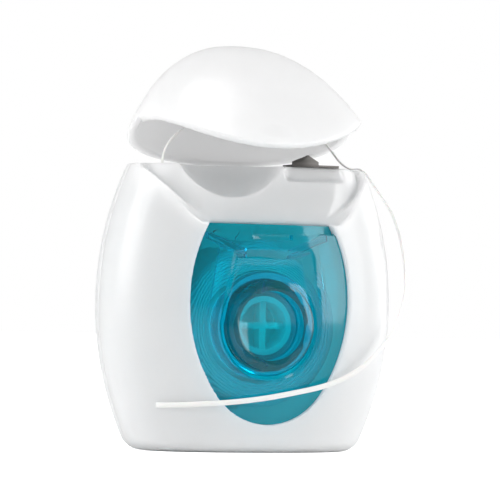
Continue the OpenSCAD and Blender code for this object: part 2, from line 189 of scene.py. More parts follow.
def soften(obj: bpy.types.Object, width: float, segments: int = 2, degrees: float = 38) -> None:
    """Round the sharp edges of a piece.

    Args:
        obj: The piece.
        width: Width of the rounding.
        segments: Faces across the rounding.
        degrees: Edges that turn by more than this are rounded.
    """
    modify(
        obj,
        "BEVEL",
        width=width,
        segments=segments,
        limit_method="ANGLE",
        angle_limit=math.radians(degrees),
        use_clamp_overlap=True,
    )


def ring(name: str, points: Sequence[Vector]) -> bpy.types.Object:
    """Add a filled ring and draw its corners out to an outline.

    Args:
        name: Name of the object.
        points: The outline's points, in order.

    Returns:
        A flat face with that outline.
    """
    deselect()
    bpy.ops.mesh.primitive_circle_add(vertices=len(points), radius=MM, fill_type="NGON")
    obj = name_new(name)
    for vertex, point in zip(obj.data.vertices, points):
        vertex.co = point
    return obj


def prism(name: str, outline: Sequence[Point], front: float, back: float) -> bpy.types.Object:
    """Extrude an outline, drawn as seen from the front, along the depth.

    Args:
        name: Name of the object.
        outline: Points as (x, z).
        front: The lower Y of the solid.
        back: The higher Y of the solid.

    Returns:
        The solid.
    """
    obj = ring(name, [Vector((x, front, z)) for x, z in outline])
    take(obj)
    bpy.ops.object.mode_set(mode="EDIT")
    bpy.ops.mesh.select_all(action="SELECT")
    bpy.ops.mesh.extrude_region_move(TRANSFORM_OT_translate={"value": (0, back - front, 0)})
    bpy.ops.object.mode_set(mode="OBJECT")
    outward(obj)
    return obj


def block(name: str, low: Sequence[float], high: Sequence[float]) -> bpy.types.Object:
    """Add a box between two corners, to cut with or to build on."""
    deselect()
    middle = [(a + b) / 2 for a, b in zip(low, high)]
    bpy.ops.mesh.primitive_cube_add(size=1, location=middle)
    obj = name_new(name)
    obj.scale = [b - a for a, b in zip(low, high)]
    settle(obj)
    return obj


def rod(name: str, radius: float, front: float, back: float, x: float, z: float) -> bpy.types.Object:
    """Add a round rod along the depth, from one Y to another."""
    deselect()
    bpy.ops.mesh.primitive_cylinder_add(
        vertices=ROUND,
        radius=radius,
        depth=back - front,
        location=(x, (front + back) / 2, z),
        rotation=(math.pi / 2, 0, 0),
    )
    obj = name_new(name)
    settle(obj)
    return obj


def ball(name: str, radius: float, centre: Sequence[float]) -> bpy.types.Object:
    """Add a ball, to cut a dish with."""
    deselect()
    bpy.ops.mesh.primitive_uv_sphere_add(segments=ROUND, ring_count=BALL_RINGS, radius=radius, location=centre)
    obj = name_new(name)
    settle(obj)
    return obj


def spaced(start: float, end: float, count: int) -> list[float]:
    """Evenly spaced values from start to end, both included."""
    return [start + (end - start) * i / count for i in range(count + 1)]


def arc(x: float, z: float, radius: float, start: float, end: float, count: int) -> list[Point]:
    """Points along an arc, angles in degrees from +X."""
    return [
        (x + radius * math.cos(math.radians(a)), z + radius * math.sin(math.radians(a)))
        for a in spaced(start, end, count)
    ]


# The form that case and lid share


@dataclass(frozen=True)
class Form:
    """The closed outer form: superellipse sections on waist arcs, with a dome on top."""

    width: float = 51 * MM
    depth: float = 27.4 * MM
    deck: float = 47.5 * MM
    deck_width: float = 40.8 * MM
    deck_depth: float = 23.8 * MM
    waist: float = 24.6 * MM
    foot_radius: float = 2 * MM
    dome: float = 15.9 * MM
    power: float = 2.4
    sides: int = 144

    def waist_radius(self, full: float, at_deck: float) -> float:
        """Radius of the arc that runs from the waist to the deck."""
        drop = (full - at_deck) / 2
        run = self.deck - self.waist
        return (run * run + drop * drop) / (2 * drop)

    def half(self, z: float, full: float, at_deck: float, inset: float) -> float:
        """Half width or half depth at a height.

        Args:
            z: The height.
            full: The size at the waist.
            at_deck: The size at the deck.
            inset: How far the form is drawn in.

        Returns:
            The half size, in metres.
        """
        radius = self.waist_radius(full, at_deck)
        if z <= self.deck:
            run = z - self.waist
            foot = 0.0
            if z < self.foot_radius:
                foot = self.foot_radius - math.sqrt(self.foot_radius**2 - (self.foot_radius - z) ** 2)
            return full / 2 - radius + math.sqrt(radius * radius - run * run) - foot - inset
        run = self.deck - self.waist
        slope = run / math.sqrt(radius * radius - run * run)
        half_deck = at_deck / 2
        k = slope * self.dome / half_deck
        under = k / (1 - k)
        high = self.dome / (1 - under)
        wide = half_deck / math.sqrt(1 - under * under)
        up = (z - self.deck) * self.dome / (self.dome - inset)
        share = min(under + up / high, 1.0)
        return wide * math.sqrt(max(1 - share * share, 0.0)) * (1 - inset / half_deck)

    def half_width(self, z: float, inset: float = 0) -> float:
        """Half width at a height."""
        return self.half(z, self.width, self.deck_width, inset)

    def half_depth(self, z: float, inset: float = 0) -> float:
        """Half depth at a height."""
        return self.half(z, self.depth, self.deck_depth, inset)

    def loft(self, name: str, heights: Sequence[float], inset: float = 0) -> bpy.types.Object:
        """Build the form through some heights, ring by ring.

        Args:
            name: Name of the object.
            heights: Heights of the rings, from low to high.
            inset: How far the form is drawn in.

        Returns:
            The solid.
        """
        first = heights[0]
        a, b = self.half_width(first, inset), self.half_depth(first, inset)
        outline = []
        for i in range(self.sides):
            t = 2 * math.pi * i / self.sides
            c, s = math.cos(t), math.sin(t)
            x = a * math.copysign(abs(c) ** (2 / self.power), c)
            y = b * math.copysign(abs(s) ** (2 / self.power), s)
            outline.append(Vector((x, y, first)))
        obj = ring(name, outline)
        take(obj)
        bpy.ops.object.mode_set(mode="EDIT")
        bpy.ops.mesh.select_all(action="SELECT")
        for below, z in zip(heights, heights[1:]):
            wide, deep = self.half_width(z, inset), self.half_depth(z, inset)
            bpy.ops.mesh.extrude_region_move(TRANSFORM_OT_translate={"value": (0, 0, z - below)})
            bpy.ops.transform.resize(value=(wide / a, deep / b, 1), center_override=(0, 0, z))
            a, b = wide, deep
        bpy.ops.object.mode_set(mode="OBJECT")
        outward(obj)
        return obj

    def dome_heights(self, inset: float = 0) -> list[float]:
        """Heights of the dome's rings, closer together towards its top."""
        return [self.deck + (self.dome - inset) * math.sin(math.radians(a)) for a in range(4, 89, 4)]


@dataclass(frozen=True)
class Lip:
    """The lid's apron with its round lip, which closes into the case's front."""

    radius: float = 23.3 * MM
    drop: float = 11 * MM
    back: float = -3 * MM
    wall: float = 1.4 * MM


FORM = Form()
LIP = Lip()


# Finishes


@dataclass(frozen=True)
class Finish:
    """A surface finish made of Blender's own texture nodes."""

    name: str
    colour: tuple[float, float, float]
    roughness: float

    def start(self) -> tuple[bpy.types.Material, bpy.types.NodeTree, bpy.types.Node]:
        """Make the material with its shader.

        Returns:
            The material, its node tree and its shader node.
        """
        material = bpy.data.materials.new(self.name)
        material.use_nodes = True
        tree = material.node_tree
        shader = tree.nodes["Principled BSDF"]
        shader.inputs["Base Color"].default_value = (*self.colour, 1)
        shader.inputs["Roughness"].default_value = self.roughness
        return material, tree, shader

    @staticmethod
    def noise(
        tree: bpy.types.NodeTree, scale: float, stretch: Sequence[float], source: str = "Object"
    ) -> bpy.types.Node:
        """Add a noise texture.

        Args:
            tree: The material's node tree.
            scale: Scale of the noise.
            stretch: Scale of the coordinates along each axis.
            source: Which texture coordinate it reads.

        Returns:
            The noise node.
        """
        coordinates = tree.nodes.new("ShaderNodeTexCoord")
        mapping = tree.nodes.new("ShaderNodeMapping")
        mapping.inputs["Scale"].default_value = stretch
        texture = tree.nodes.new("ShaderNodeTexNoise")
        texture.inputs["Scale"].default_value = scale
        texture.inputs["Detail"].default_value = 4
        tree.links.new(coordinates.outputs[source], mapping.inputs["Vector"])
        tree.links.new(mapping.outputs["Vector"], texture.inputs["Vector"])
        return texture

    @staticmethod
    def spread(
        tree: bpy.types.NodeTree,
        source: bpy.types.Node,
        socket: bpy.types.NodeSocket,
        low: float,
        high: float,
    ) -> None:
        """Drive a value socket by a noise, between two values."""
        span = tree.nodes.new("ShaderNodeMapRange")
        span.inputs["To Min"].default_value = low
        span.inputs["To Max"].default_value = high
        tree.links.new(source.outputs["Fac"], span.inputs["Value"])
        tree.links.new(span.outputs["Result"], socket)

    @staticmethod
    def tint(
        tree: bpy.types.NodeTree,
        source: bpy.types.Node,
        socket: bpy.types.NodeSocket,
        dark: tuple[float, float, float],
        light: tuple[float, float, float],
    ) -> None:
        """Drive a colour socket by a noise, between two colours."""
        ramp = tree.nodes.new("ShaderNodeValToRGB")
        for stop, place, colour in zip(ramp.color_ramp.elements, RAMP, (dark, light)):
            stop.color = (*colour, 1)
            stop.position = place
        tree.links.new(source.outputs["Fac"], ramp.inputs["Fac"])
        tree.links.new(ramp.outputs["Color"], socket)

    @staticmethod
    def bump(
        tree: bpy.types.NodeTree,
        source: bpy.types.Node,
        shader: bpy.types.Node,
        depth: float,
        strength: float,
    ) -> None:
        """Raise the surface by a texture."""
        node = tree.nodes.new("ShaderNodeBump")
        node.inputs["Distance"].default_value = depth
        node.inputs["Strength"].default_value = strength
        tree.links.new(source.outputs["Fac"], node.inputs["Height"])
        tree.links.new(node.outputs["Normal"], shader.inputs["Normal"])

    def build(self) -> bpy.types.Material:
        """Make the finished material."""
        raise NotImplementedError


@dataclass(frozen=True)
class MouldedWhite(Finish):
    """Smooth white polypropylene, a little translucent, with a faint moulded grain."""

    name: str = "moulded_white"
    colour: tuple[float, float, float] = (0.86, 0.86, 0.865)
    roughness: float = 0.3

    def build(self) -> bpy.types.Material:
        """Make the finished material."""
        material, tree, shader = self.start()
        cloud = self.noise(tree, 60, (1, 1, 1))
        grain = self.noise(tree, 2600, (1, 1, 1))
        self.tint(tree, cloud, shader.inputs["Base Color"], (0.845, 0.845, 0.85), (0.875, 0.875, 0.878))
        self.spread(tree, cloud, shader.inputs["Roughness"], 0.24, 0.36)
        self.bump(tree, grain, shader, 0.00002, 0.12)
        shader.inputs["Subsurface Weight"].default_value = 0.9
        shader.inputs["Subsurface Radius"].default_value = (1, 1, 1)
        shader.inputs["Subsurface Scale"].default_value = 0.005
        shader.inputs["IOR"].default_value = 1.49
        shader.inputs["Coat Weight"].default_value = 0.12
        shader.inputs["Coat Roughness"].default_value = 0.12
        return material


@dataclass(frozen=True)
class ClearTeal(Finish):
    """Clear tinted polystyrene that goes from teal to blue where it is thick."""

    name: str = "clear_teal"
    colour: tuple[float, float, float] = (0.003, 0.66, 0.77)
    roughness: float = 0.06

    def build(self) -> bpy.types.Material:
        """Make the finished material."""
        material, tree, shader = self.start()
        flow = self.noise(tree, 90, (1, 1, 0.4))
        self.spread(tree, flow, shader.inputs["Roughness"], 0.03, 0.09)
        self.tint(tree, flow, shader.inputs["Base Color"], (0.002, 0.62, 0.74), (0.005, 0.7, 0.81))
        ripple = self.noise(tree, 300, (1, 1, 1))
        self.bump(tree, ripple, shader, 0.00002, 0.1)
        shader.inputs["Transmission Weight"].default_value = 0.87
        shader.inputs["IOR"].default_value = 1.45
        volume = tree.nodes.new("ShaderNodeVolumeAbsorption")
        volume.inputs["Color"].default_value = (0.0, 0.72, 0.97, 1)
        volume.inputs["Density"].default_value = 200
        tree.links.new(volume.outputs["Volume"], tree.nodes["Material Output"].inputs["Volume"])
        return material


@dataclass(frozen=True)
class NaturalPlastic(Finish):
    """Undyed, slightly milky plastic of the spool core."""

    name: str = "natural_plastic"
    colour: tuple[float, float, float] = (0.8, 0.84, 0.84)
    roughness: float = 0.35

    def build(self) -> bpy.types.Material:
        """Make the finished material."""
        material, tree, shader = self.start()
        cloud = self.noise(tree, 200, (1, 1, 1))
        self.tint(tree, cloud, shader.inputs["Base Color"], (0.78, 0.82, 0.82), (0.84, 0.87, 0.87))
        self.spread(tree, cloud, shader.inputs["Roughness"], 0.28, 0.42)
        self.bump(tree, cloud, shader, 0.00002, 0.1)
        return material


@dataclass(frozen=True)
class WaxedFloss(Finish):
    """Flat waxed multifilament: fine fibres along the strand under a film of wax."""

    name: str = "waxed_floss"
    colour: tuple[float, float, float] = (0.9, 0.9, 0.88)
    roughness: float = 0.45
    fibres: float = 14

    def build(self) -> bpy.types.Material:
        """Make the finished material."""
        material, tree, shader = self.start()
        fibre = self.noise(tree, self.fibres, (0.3, 6, 1), "UV")
        self.tint(tree, fibre, shader.inputs["Base Color"], (0.84, 0.84, 0.82), (0.93, 0.93, 0.92))
        self.spread(tree, fibre, shader.inputs["Roughness"], 0.35, 0.6)
        self.bump(tree, fibre, shader, 0.00004, 0.5)
        shader.inputs["Sheen Weight"].default_value = 0.25
        shader.inputs["Subsurface Weight"].default_value = 0.1
        shader.inputs["Subsurface Scale"].default_value = 0.0004
        return material


@dataclass(frozen=True)
class PressedSteel(Finish):
    """Thin pressed sheet, brushed along its width."""

    name: str = "pressed_steel"
    colour: tuple[float, float, float] = (0.09, 0.087, 0.083)
    roughness: float = 0.38

    def build(self) -> bpy.types.Material:
        """Make the finished material."""
        material, tree, shader = self.start()
        shader.inputs["Metallic"].default_value = 1
        brushed = self.noise(tree, 900, (0.06, 1, 1))
        self.tint(tree, brushed, shader.inputs["Base Color"], (0.06, 0.058, 0.055), (0.12, 0.115, 0.11))
        self.spread(tree, brushed, shader.inputs["Roughness"], 0.3, 0.5)
        self.bump(tree, brushed, shader, 0.00002, 0.4)
        return material


@dataclass
class Palette:
    """The finishes, each made once."""

    white: bpy.types.Material = field(default_factory=lambda: MouldedWhite().build())
    teal: bpy.types.Material = field(default_factory=lambda: ClearTeal().build())
    natural: bpy.types.Material = field(default_factory=lambda: NaturalPlastic().build())
    floss: bpy.types.Material = field(default_factory=lambda: WaxedFloss().build())
    steel: bpy.types.Material = field(default_factory=lambda: PressedSteel().build())


def dress(
    obj: bpy.types.Object,
    material: bpy.types.Material,
    body: str,
    replaced: Iterable[str] = (),
) -> None:
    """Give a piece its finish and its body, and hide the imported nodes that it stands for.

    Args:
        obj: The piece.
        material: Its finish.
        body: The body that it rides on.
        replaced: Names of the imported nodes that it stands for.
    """
    obj.data.materials.clear()
    obj.data.materials.append(material)
    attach(obj, body)
    if replaced:
        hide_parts(*replaced)
    LOG.info("%s: %d faces on %s", obj.name, len(obj.data.polygons), body)


# Sub-assemblies


@dataclass
class Case:
    """The two shells of the case, with the hub post inside."""

    palette: Palette
    wall: float = 1.4 * MM
    parting: float = 0.8 * MM
    recess_low: float = 37.8 * MM
    recess_low_half: float = 12.2 * MM
    recess_top_half: float = 19.2 * MM
    recess_low_depth: float = 2.4 * MM
    recess_top_depth: float = 5.1 * MM
    recess_flare: float = 1.6
    dish_radius: float = 10.6 * MM
    dish_depth: float = 5.5 * MM
    dish_x: float = -6 * MM
    dish_ahead: float = 2.4 * MM
    lid_clear: float = 0.4 * MM
    outlet: tuple[float, float] = (-15.4 * MM, -1 * MM)
    outlet_radius: float = 0.8 * MM
    outlet_depth: float = 8 * MM
    notch_left: float = 3.7 * MM
    notch_right: float = 15.1 * MM
    notch_drop: float = 2.4 * MM
    notch_set: float = 0.3 * MM
    post_radius: float = 4.9 * MM
    post_wall: float = 0.9 * MM
    post_tip: float = -9.26 * MM
    post_root: float = 12.48 * MM
    post_hollow: float = 4 * MM
    rib: float = 1.1 * MM
    rib_set: float = 0.6 * MM
    rib_overlap: float = 0.2 * MM
    shoulder_front: float = 9.1 * MM
    voxel: float = 0.3 * MM
    passes: int = 3

    def face_y(self, z: float) -> float:
        """Depth of the recess's leaning floor at a height."""
        middle = FORM.half_depth(self.recess_low)
        share = (z - self.recess_low) / (FORM.deck - self.recess_low)
        return self.recess_low_depth - middle + (self.recess_top_depth - self.recess_low_depth) * share

    def recess(self, grow: float) -> bpy.types.Object:
        """The space of the front recess, grown by a wall."""
        low, top = self.recess_low - grow, FORM.deck + MM + grow
        flare = self.recess_top_half - self.recess_low_half
        half = [(self.recess_low_half + grow, low)]
        for share in spaced(0, 1, 16)[1:]:
            x = self.recess_low_half + flare * (1 - (1 - share) ** self.recess_flare)
            half.append((x + grow, self.recess_low + share * (FORM.deck - self.recess_low)))
        half.append((self.recess_top_half + grow, top))
        outline = half + [(-x, z) for x, z in reversed(half)]
        obj = prism("recess", outline, -FAR, 0)
        for vertex in obj.data.vertices:
            if vertex.co.y > -FAR / 2:
                vertex.co.y = self.face_y(vertex.co.z) + grow
        return obj

    def dish(self, grow: float) -> bpy.types.Object:
        """The ball that makes the finger dish, grown by a wall."""
        height = FORM.deck - self.dish_depth + self.dish_radius
        ahead = self.face_y(FORM.deck) - self.dish_ahead
        return ball("dish", self.dish_radius + grow, (self.dish_x, ahead, height))

    def cavity(self) -> bpy.types.Object:
        """The inside of the case, with all that is cut into its front walled off."""
        heights = [self.wall, *spaced(self.wall + 3 * MM, FORM.deck - self.wall, 24)]
        obj = FORM.loft("cavity", heights, self.wall)
        for cut in (self.recess, self.dish, self.apron_room, self.notch):
            combine(obj, cut(self.wall), Cut.SUBTRACT)
        return obj

    def apron_room(self, grow: float) -> bpy.types.Object:
        """The room that the closed lid's apron takes, with its clearance, grown by a wall."""
        low, high = FORM.deck - LIP.drop - MM - grow, FORM.deck + 3 * MM
        inset = LIP.wall + self.lid_clear + grow
        room = FORM.loft("apron_room", spaced(low, high, 16), -MM)
        combine(room, FORM.loft("apron_inner", spaced(low - MM, high + MM, 16), inset), Cut.SUBTRACT)
        spare = self.lid_clear + grow
        centre = FORM.deck - LIP.drop + LIP.radius
        lip = rod("lip", LIP.radius + spare, -FAR, LIP.back + spare, 0, centre)
        return combine(room, lip, Cut.KEEP_COMMON)

    def shell(self, side: Side, window: Callable[[float], list[Point]]) -> bpy.types.Object:
        """Build one half of the case.

        Args:
            side: Which half.
            window: Gives the window's outline, grown by an offset.

        Returns:
            The shell.
        """
        heights = [0, 0.2 * MM, 0.5 * MM, MM, 1.5 * MM, *spaced(FORM.foot_radius, FORM.deck, 48)]
        obj = FORM.loft(f"{side.name.lower()}_case", heights)
        combine(obj, self.cavity(), Cut.SUBTRACT)
        ends = (self.parting, FAR) if side is Side.FRONT else (-FAR, self.parting)
        other = block("half", (-FAR, ends[0], -MM), (FAR, ends[1], FAR * 2))
        combine(obj, other, Cut.SUBTRACT)
        if side is Side.FRONT:
            for tool in (
                self.recess(0),
                self.dish(0),
                self.apron_room(0),
                prism("window", window(0), -FAR, WINDOW_BACK),
                self.notch(0),
                self.outlet_hole(),
            ):
                combine(obj, tool, Cut.SUBTRACT)
        mould(obj, self.voxel, self.passes)
        return obj

    def notch(self, grow: float) -> bpy.types.Object:
        """The notch in the deck's front edge, under the cutter, grown by a wall."""
        back = self.face_y(FORM.deck) + self.notch_set + grow
        low = FORM.deck - self.notch_drop - grow
        sides = self.notch_left - grow, self.notch_right + grow
        return block("notch", (sides[0], -FAR, low), (sides[1], back, FORM.deck + MM))

    def outlet_hole(self) -> bpy.types.Object:
        """The hole that the strand comes out of."""
        deselect()
        bpy.ops.mesh.primitive_cylinder_add(
            vertices=48, radius=self.outlet_radius, depth=self.outlet_depth, location=(*self.outlet, FORM.deck)
        )
        return name_new("outlet")

    def post(self) -> bpy.types.Object:
        """The rear shell's post with the cross at its tip."""
        obj = rod("hub_post", self.post_radius, self.post_tip, self.post_root, 0, HUB)
        inner = self.post_radius - self.post_wall
        tip = self.post_tip
        combine(obj, rod("hollow", inner, tip - MM, tip + self.post_hollow, 0, HUB), Cut.SUBTRACT)
        reach = inner + self.rib_overlap
        for wide, high in ((reach, self.rib / 2), (self.rib / 2, reach)):
            rib = block(
                "rib",
                (-wide, tip + self.rib_set, HUB - high),
                (wide, tip + self.post_hollow + self.rib_set, HUB + high),
            )
            combine(obj, rib, Cut.JOIN)
        shoulder = rod("shoulder", CORE_RADIUS, self.shoulder_front, self.post_root, 0, HUB)
        combine(obj, shoulder, Cut.JOIN)
        soften(obj, EDGE)
        smooth(obj)
        return obj

    def build(self, window: Callable[[float], list[Point]]) -> None:
        """Make and dress the shells and the post."""
        white = self.palette.white
        dress(self.shell(Side.FRONT, window), white, "case", ["front_shell"])
        dress(self.shell(Side.REAR, window), white, "case", ["rear_shell"])
        dress(self.post(), white, "case", ["rear_shell"])


@dataclass
class Lid:
    """The dome with its front apron, hinged at the back of the deck."""

    palette: Palette
    seam: float = 0.5 * MM
    dent_radius: float = 9 * MM
    dent_depth: float = 0.5 * MM
    dent_rise: float = 3.4 * MM
    dent_stretch: tuple[float, float, float] = (1.7, 1, 0.75)
    open_angle: float = 30.5
    voxel: float = 0.28 * MM
    passes: int = 1

    def closed(self) -> bpy.types.Object:
        """Build the lid as it lies when closed."""
        lip_low = FORM.deck - LIP.drop
        low = lip_low - 2 * MM
        obj = FORM.loft("dome_lid", [*spaced(low, FORM.deck, 12), *FORM.dome_heights()])
        zone = block("zone", (-FAR, -FAR, FORM.deck + self.seam), (FAR, FAR, FAR * 3))
        lip = rod("lip", LIP.radius, -FAR, LIP.back, 0, lip_low + LIP.radius)
        combine(zone, lip, Cut.JOIN)
        combine(obj, zone, Cut.KEEP_COMMON)
        inner_heights = [*spaced(low - MM, FORM.deck, 12), *FORM.dome_heights(LIP.wall)]
        combine(obj, FORM.loft("inside", inner_heights, LIP.wall), Cut.SUBTRACT)
        ahead = -FORM.half_depth(lip_low) - self.dent_radius + self.dent_depth
        dent = ball("dent", self.dent_radius, (0, 0, 0))
        dent.scale = self.dent_stretch
        dent.location = (0, ahead, lip_low + self.dent_rise)
        settle(dent)
        combine(obj, dent, Cut.SUBTRACT)
        mould(obj, self.voxel, self.passes)
        return obj

    def build(self) -> None:
        """Make the lid, open it and dress it."""
        obj = self.closed()
        hinge = Vector((0, FORM.deck_depth / 2 - self.seam / 2, FORM.deck + self.seam / 2))
        turn = Matrix.Rotation(math.radians(-self.open_angle), 4, "X")
        obj.matrix_world = Matrix.Translation(hinge) @ turn @ Matrix.Translation(-hinge)
        settle(obj)
        dress(obj, self.palette.white, "lid", ["lid"])


@dataclass
class WindowInsert:
    """The clear teal moulding in the window, with the hub tube that the spool turns on."""

    palette: Palette
    width: float = 28.2 * MM
    middle: float = 25 * MM
    low: float = 4.7 * MM
    top: float = 37.8 * MM
    side_radius: float = 27 * MM
    fit: float = 0.12 * MM
    pane_set: float = 0.6 * MM
    pane_back: float = 2.52 * MM
    flange_front: float = 1.52 * MM
    flange: float = 1.4 * MM
    hub_radius: float = 7.5 * MM
    bore_radius: float = 5.75 * MM
    hub_rear: float = 7.9 * MM
    closed_end: tuple[float, float] = (-9.38 * MM, -9.28 * MM)
    shoulder_rear: float = -8.3 * MM
    trough_radius: float = 9.6 * MM
    trough_top: float = 33.6 * MM
    trough_top_half: float = 7.3 * MM
    trough_depth: float = 1.6 * MM
    trough_floor: float = 1.2 * MM
    latch_half: float = 3.5 * MM
    latch_low: float = 35.2 * MM
    latch_height: float = 0.8 * MM
    latch_floor: float = 2.1 * MM
    band_low: float = 36.1 * MM
    band_inset: float = 1.8 * MM
    rib_near: tuple[float, float] = (4 * MM, 32.6 * MM)
    rib_far: tuple[float, float] = (10.4 * MM, 36.1 * MM)
    rib: float = 1 * MM
    rib_front: float = -11 * MM
    rib_depth: float = 2.4 * MM
    overlap: float = 0.3 * MM

    def outline(self, grow: float) -> list[Point]:
        """Outline of the window: two side arcs, a round foot and a flat top.

        Args:
            grow: How far it is grown.

        Returns:
            Points as (x, z).
        """
        side_x = self.width / 2 - self.side_radius
        side_r = self.side_radius + grow
        spare = self.side_radius - (self.middle - self.low)
        foot_below = (side_x * side_x - spare * spare) / (2 * spare)
        foot_z = self.middle - foot_below
        foot = math.degrees(math.atan2(foot_below, -side_x))
        top = math.degrees(math.asin((self.top + grow - self.middle) / side_r))
        return [
            *arc(side_x, self.middle, side_r, -foot, top, 28),
            *arc(-side_x, self.middle, side_r, 180 - top, 180 + foot, 28),
            *arc(0, foot_z, foot_z - self.low + grow, 182 + foot, 358 - foot, 22),
        ]

    def trough(self, grow: float) -> list[Point]:
        """Outline of the hollow round the hub."""
        top = self.trough_top + grow
        half = self.trough_top_half + grow
        return [*arc(0, HUB, self.trough_radius + grow, 180, 360, 40), (half, top), (-half, top)]

    def hollow(self, floor: float) -> bpy.types.Object:
        """The space of the hollow round the hub, with flanks that lean outwards.

        Args:
            floor: Y of its floor.

        Returns:
            The solid to cut with.
        """
        depth = self.trough_depth + MM
        narrow, wide = self.trough(-self.trough_depth), self.trough(MM)
        obj = prism("trough", narrow, floor - depth, floor)
        for vertex, (x, z) in zip(obj.data.vertices, wide):
            vertex.co = (x, floor - depth, z)
        return obj

    def layer(self, name: str, grow: float, front: float) -> bpy.types.Object:
        """A layer that follows the case's face, from an inset back to the pane's back.

        Args:
            name: Name of the object.
            grow: How far the window's outline is grown.
            front: Inset of the layer's face.

        Returns:
            The layer.
        """
        low, high = self.low - 3 * MM, self.top + 3 * MM
        obj = FORM.loft(name, spaced(low, high, 24), front)
        combine(obj, prism("edge", self.outline(grow), -FAR, WINDOW_BACK), Cut.KEEP_COMMON)
        inner = FORM.loft("inner", spaced(low - MM, high + MM, 24), self.pane_back)
        return combine(obj, inner, Cut.SUBTRACT)

    def band(self) -> bpy.types.Object:
        """The space in front of the set-back band at the pane's top."""
        low, high = self.band_low, self.top + MM
        obj = FORM.loft("band", spaced(low, high, 4), -MM)
        inner = FORM.loft("band_inner", spaced(low - MM, high + MM, 4), self.band_inset)
        return combine(obj, inner, Cut.SUBTRACT)

    def slanting_rib(self, side: int) -> bpy.types.Object:
        """A rib behind the pane, from beside the band down to the top of the hollow."""
        near_x, near_z = self.rib_near
        far_x, far_z = self.rib_far
        outline = [(near_x, near_z), (far_x, far_z - self.rib), (far_x, far_z), (near_x, near_z + self.rib)]
        outline = [(side * x, z) for x, z in outline]
        return prism("slanting_rib", outline, self.rib_front, self.rib_front + self.rib_depth)

    def build(self) -> None:
        """Make and dress the insert."""
        face = -FORM.half_depth(HUB) + self.pane_set
        floor = face + self.trough_depth
        obj = self.layer("teal_insert", -self.fit, self.pane_set)
        combine(obj, self.band(), Cut.SUBTRACT)
        flange = self.layer("flange", self.flange, self.flange_front)
        case = Case(self.palette)
        for cut in (case.recess, case.apron_room):
            combine(flange, cut(self.flange_front), Cut.SUBTRACT)
        combine(obj, flange, Cut.JOIN)
        back = prism("trough_back", self.trough(self.trough_floor), floor, floor + self.trough_floor)
        combine(obj, back, Cut.JOIN)
        combine(obj, self.hollow(floor), Cut.SUBTRACT)
        tube = rod("tube", self.hub_radius, face + self.overlap, self.hub_rear, 0, HUB)
        combine(obj, tube, Cut.JOIN)
        seat = rod("seat", CORE_RADIUS, floor + self.overlap, self.shoulder_rear, 0, HUB)
        combine(obj, seat, Cut.JOIN)
        for side in (-1, 1):
            combine(obj, self.slanting_rib(side), Cut.JOIN)
        for ends in ((-FAR, self.closed_end[0]), (self.closed_end[1], FAR)):
            combine(obj, rod("bore", self.bore_radius, *ends, 0, HUB), Cut.SUBTRACT)
        slot_back = self.latch_floor - FORM.half_depth(self.latch_low)
        slot_top = self.latch_low + self.latch_height
        low_corner = (-self.latch_half, -FAR, self.latch_low)
        latch = block("latch", low_corner, (self.latch_half, slot_back, slot_top))
        combine(obj, latch, Cut.SUBTRACT)
        outward(obj)
        soften(obj, EDGE)
        smooth(obj)
        obj.visible_shadow = False
        dress(obj, self.palette.teal, "case", ["window_insert"])


@dataclass
class Spool:
    """The strand wound on the spool core."""

    palette: Palette
    radius: float = 13.5 * MM
    front: float = -7.4 * MM
    rear: float = 8.2 * MM
    corner: float = 1.5 * MM
    strand: float = 0.42 * MM
    pitch: float = 0.45 * MM
    rings: int = 60
    core_gap: float = 0.05 * MM
    under_share: float = 0.6
    rounding_share: float = 0.8

    def start(self) -> float:
        """Radius at which the strand starts."""
        return CORE_RADIUS + self.strand / 2 + self.core_gap

    def section(self, s: float) -> tuple[float, float]:
        """Radius and depth of the strand, a distance along the section from the core outwards."""
        r = self.radius - self.strand / 2
        start = self.start()
        flat = r - self.corner - start
        bend = self.corner * math.pi / 2
        face = self.front + self.strand / 2
        if s < flat:
            return start + s, face
        if s < flat + bend:
            a = (s - flat) / self.corner
            return r - self.corner + self.corner * math.sin(a), face + self.corner * (1 - math.cos(a))
        return r, face + self.corner + s - flat - bend

    def length(self) -> float:
        """Length of the section that the strand covers."""
        r = self.radius - self.strand / 2
        start = self.start()
        flat = r - self.corner - start
        return flat + self.corner * math.pi / 2 + self.rear - self.front - self.corner - self.strand

    def turns(self) -> bpy.types.Object:
        """The outer layer of the winding, one unbroken strand."""
        count = math.floor(self.length() / self.pitch)
        points = []
        for i in range(count * self.rings + 1):
            r, y = self.section(i / self.rings * self.pitch)
            a = 2 * math.pi * i / self.rings
            points.append(Vector((r * math.cos(a), y, HUB + r * math.sin(a))))
        return sweep("wound_floss", points, [0.0] * len(points), self.strand, self.strand, 8)

    def pack(self) -> bpy.types.Object:
        """The wound floss under the outer layer."""
        under = self.strand * self.under_share
        obj = rod("floss_under", self.radius - under, self.front + under, self.rear, 0, HUB)
        combine(obj, rod("core_hole", CORE_RADIUS, -FAR, FAR, 0, HUB), Cut.SUBTRACT)
        soften(obj, self.corner * self.rounding_share, 4, 60)
        smooth(obj)
        return obj

    def build(self) -> None:
        """Make and dress the winding."""
        dress(self.turns(), self.palette.floss, "spool", ["floss_turns"])
        dress(self.pack(), self.palette.floss, "spool", ["floss_pack"])


